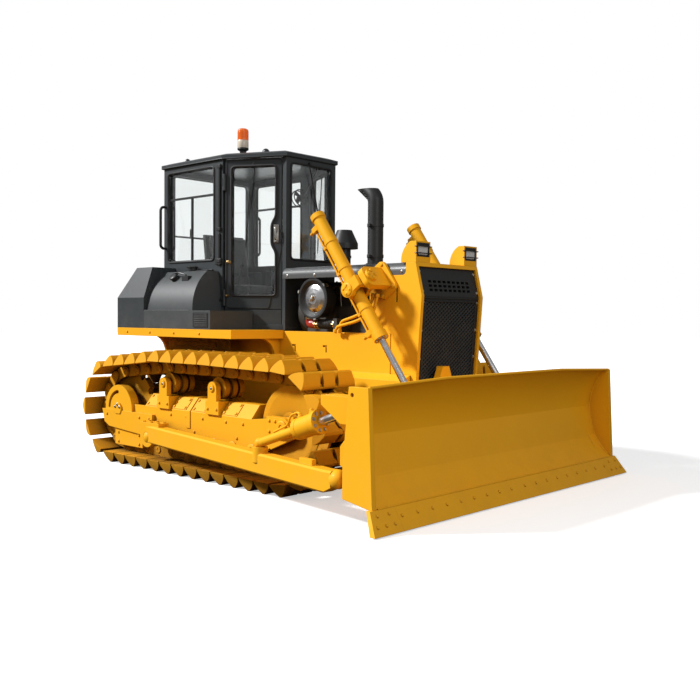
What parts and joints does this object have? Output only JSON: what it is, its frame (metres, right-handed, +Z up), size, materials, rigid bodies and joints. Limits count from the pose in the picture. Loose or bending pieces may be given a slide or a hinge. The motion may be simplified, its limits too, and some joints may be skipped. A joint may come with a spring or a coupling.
{
  "type": "bulldozer",
  "caption": "Low-ground-pressure bulldozer with triangular track shoes, lifting and tilting straight blade, six-sided cab with doors.",
  "frame": {"origin": "ground level under the middle of the whole machine", "axes": "+X forward to the blade, +Y to the machine's left, +Z up"},
  "size_m": [4.466, 3.61, 3.34],
  "materials": {
    "yellow_paint": "satin",
    "grey_paint": "satin",
    "black_paint": "satin",
    "window_glass": "clear",
    "rod_chrome": "polished",
    "engine_iron": "matte",
    "seat_vinyl": "grained",
    "beacon_lens": "gloss"
  },
  "bodies": {
    "chassis": {"main_frame": "yellow_paint", "radiator_shell": "yellow_paint", "headlamps": "yellow_paint", "fenders": "yellow_paint", "track_frames": "yellow_paint", "track_left": "yellow_paint", "track_right": "yellow_paint", "sprockets": "yellow_paint", "idlers": "yellow_paint", "carrier_rollers": "yellow_paint", "track_rollers": "yellow_paint", "final_drives": "yellow_paint", "equalizer_bar": "yellow_paint", "drawbar": "yellow_paint", "lift_brackets": "yellow_paint", "hood": "grey_paint", "cab_floor": "grey_paint", "cab_rear": "grey_paint", "cab_sides": "grey_paint", "cab_front": "grey_paint", "cab_roof": "grey_paint", "fuel_tank": "grey_paint", "fender_boxes": "grey_paint", "hydraulic_tank": "grey_paint", "battery_box": "grey_paint", "air_cleaner": "black_paint", "grille": "black_paint", "radiator_core": "black_paint", "exhaust_stack": "black_paint", "precleaner": "black_paint", "console": "black_paint", "grab_handles": "black_paint", "seat": "black_paint", "lamp_units": "black_paint", "intake_hose": "black_paint", "cab_glass": "window_glass", "filter_bowl": "rod_chrome", "engine": "engine_iron", "seat_pads": "seat_vinyl", "beacon": "beacon_lens"},
    "lift_pins": {"trunnion_pins": "yellow_paint"},
    "left_arm": {"push_arm_left": "yellow_paint"},
    "right_arm": {"push_arm_right": "yellow_paint"},
    "brace": {"pitch_brace": "yellow_paint"},
    "tilt_cylinder": {"tilt_barrel": "yellow_paint"},
    "tilt_piston": {"tilt_rod": "rod_chrome"},
    "blade": {"moldboard": "yellow_paint", "blade_lugs": "yellow_paint", "cutting_edge": "yellow_paint", "end_bits": "yellow_paint"},
    "yoke_left": {"lift_yoke_left": "yellow_paint"},
    "yoke_right": {"lift_yoke_right": "yellow_paint"},
    "cylinder_left": {"lift_barrel_left": "yellow_paint"},
    "cylinder_right": {"lift_barrel_right": "yellow_paint"},
    "piston_left": {"lift_rod_left": "rod_chrome"},
    "piston_right": {"lift_rod_right": "rod_chrome"},
    "left_door": {"door_left": "grey_paint", "door_glass_left": "window_glass"},
    "right_door": {"door_right": "grey_paint", "door_glass_right": "window_glass"}
  },
  "joints": [
    {"name": "blade_lift", "type": "hinge", "parent": "chassis", "child": "lift_pins", "pos_m": [-1.003, 0, 0.32], "axis": [0, -1, 0], "range_deg": [-6.5, 16]},
    {"name": "blade_tilt", "type": "hinge", "parent": "lift_pins", "child": "blade", "pos_m": [1.747, 0, 0.32], "axis": [0.8575, -0.5145, 0], "range_deg": [-5.25, 5.25]},
    {"name": "left_arm_pitch", "type": "hinge", "parent": "lift_pins", "child": "left_arm", "pos_m": [-1.003, 1.318, 0.32], "axis": [0, -1, 0], "range_deg": [-2.75, 2.75]},
    {"name": "right_arm_pitch", "type": "hinge", "parent": "lift_pins", "child": "right_arm", "pos_m": [-1.003, -1.318, 0.32], "axis": [0, -1, 0], "range_deg": [-2.75, 2.75]},
    {"name": "brace_swing", "type": "hinge", "parent": "left_arm", "child": "brace", "pos_m": [0.797, 1.545, 0.47], "axis": [0.3077, 0.1498, -0.9396], "range_deg": [-2.12, 2.12]},
    {"name": "tilt_cylinder_swing", "type": "hinge", "parent": "right_arm", "child": "tilt_cylinder", "pos_m": [0.797, -1.545, 0.47], "axis": [0.2537, -0.5266, -0.8114], "range_deg": [-2.55, 2.55]},
    {"name": "tilt_piston_stroke", "type": "slide", "parent": "tilt_cylinder", "child": "tilt_piston", "axis": [0.9486, -0.0287, 0.3152], "range_m": [-0.0392, 0.0392]},
    {"name": "yoke_swivel_left", "type": "hinge", "parent": "chassis", "child": "yoke_left", "pos_m": [0.985, 0.66, 1.69], "axis": [0.8135, 0, 0.5815], "range_deg": [-1.42, 1.42]},
    {"name": "cylinder_swing_left", "type": "hinge", "parent": "yoke_left", "child": "cylinder_left", "pos_m": [0.985, 0.66, 1.69], "axis": [0, -1, 0], "range_deg": [-8.49, 20.91]},
    {"name": "piston_stroke_left", "type": "slide", "parent": "cylinder_left", "child": "piston_left", "axis": [0.5815, 0, -0.8135], "range_m": [-0.6723, 0.2731]},
    {"name": "door_swing_left", "type": "hinge", "parent": "chassis", "child": "left_door", "pos_m": [-0.8083, 0.6133, 2.2], "axis": [0, 0, 1], "range_deg": [0, 90]},
    {"name": "yoke_swivel_right", "type": "hinge", "parent": "chassis", "child": "yoke_right", "pos_m": [0.985, -0.66, 1.69], "axis": [0.8135, 0, 0.5815], "range_deg": [-1.42, 1.42]},
    {"name": "cylinder_swing_right", "type": "hinge", "parent": "yoke_right", "child": "cylinder_right", "pos_m": [0.985, -0.66, 1.69], "axis": [0, -1, 0], "range_deg": [-8.49, 20.91]},
    {"name": "piston_stroke_right", "type": "slide", "parent": "cylinder_right", "child": "piston_right", "axis": [0.5815, 0, -0.8135], "range_m": [-0.6723, 0.2731]},
    {"name": "door_swing_right", "type": "hinge", "parent": "chassis", "child": "right_door", "pos_m": [-0.8083, -0.6133, 2.2], "axis": [0, 0, -1], "range_deg": [0, 90]}
  ],
  "couplings": [
    {"joint": "left_arm_pitch", "follows": "blade_tilt", "ratio": 0.5145},
    {"joint": "right_arm_pitch", "follows": "blade_tilt", "ratio": -0.5145},
    {"joint": "brace_swing", "follows": "blade_tilt", "ratio": 0.39637},
    {"joint": "tilt_cylinder_swing", "follows": "blade_tilt", "ratio": 0.47563},
    {"joint": "tilt_piston_stroke", "follows": "blade_tilt", "m_per_rad": -0.41952},
    {"joint": "yoke_swivel_left", "follows": "blade_tilt", "ratio": -0.2655},
    {"joint": "cylinder_swing_left", "follows": "blade_lift", "ratio": 1.2813},
    {"joint": "piston_stroke_left", "follows": "blade_lift", "m_per_rad": -2.3602},
    {"joint": "yoke_swivel_right", "follows": "blade_tilt", "ratio": -0.2655},
    {"joint": "cylinder_swing_right", "follows": "blade_lift", "ratio": 1.2813},
    {"joint": "piston_stroke_right", "follows": "blade_lift", "m_per_rad": -2.3602}
  ]
}
